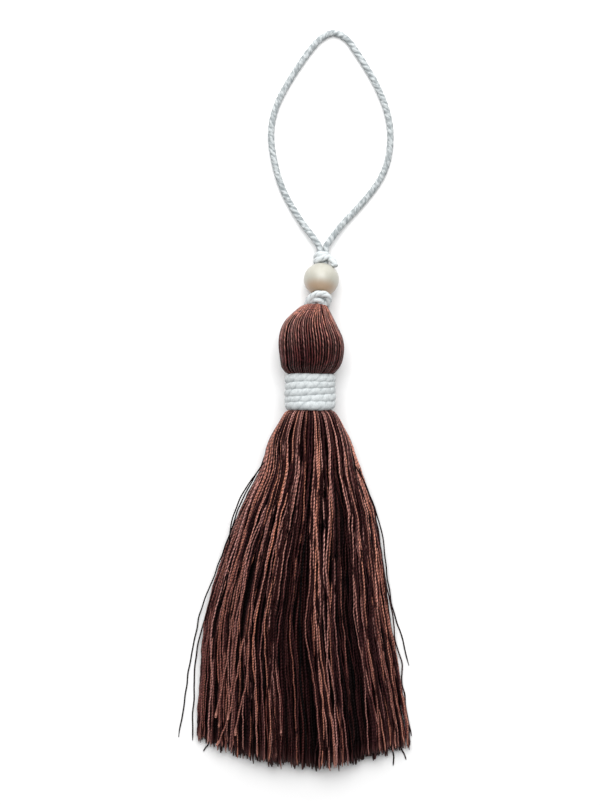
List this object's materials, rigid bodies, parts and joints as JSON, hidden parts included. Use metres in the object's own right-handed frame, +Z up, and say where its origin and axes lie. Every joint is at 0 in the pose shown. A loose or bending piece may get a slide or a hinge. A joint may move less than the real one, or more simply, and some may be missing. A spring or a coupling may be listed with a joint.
{
  "type": "yarn tassel with a bead and a hanging loop",
  "caption": "Hanging trim lying on its back: a cord loop knotted through a round bead, a folded yarn head bound at the neck, and a loose fanned skirt of yarn.",
  "frame": {"origin": "on the surface that the tassel lies on, under the middle of the box of the tassel without its loop", "axes": "+Y along the tassel from the skirt to the loop, +Z up from the surface, +X to the right of someone who looks down on it with the loop away from them"},
  "size_m": [0.0612, 0.2059, 0.0178],
  "materials": {
    "cord": "matte white twisted cotton cord",
    "bead": "cream lacquer on turned wood",
    "yarn": "dark brown plied yarn with a soft sheen"
  },
  "bodies": {
    "root": {"loop_cord": "cord", "upper_knot": "cord", "bead": "bead", "lower_knot": "cord", "yarn_bundle": "yarn", "neck_binding": "cord"}
  },
  "joints": []
}
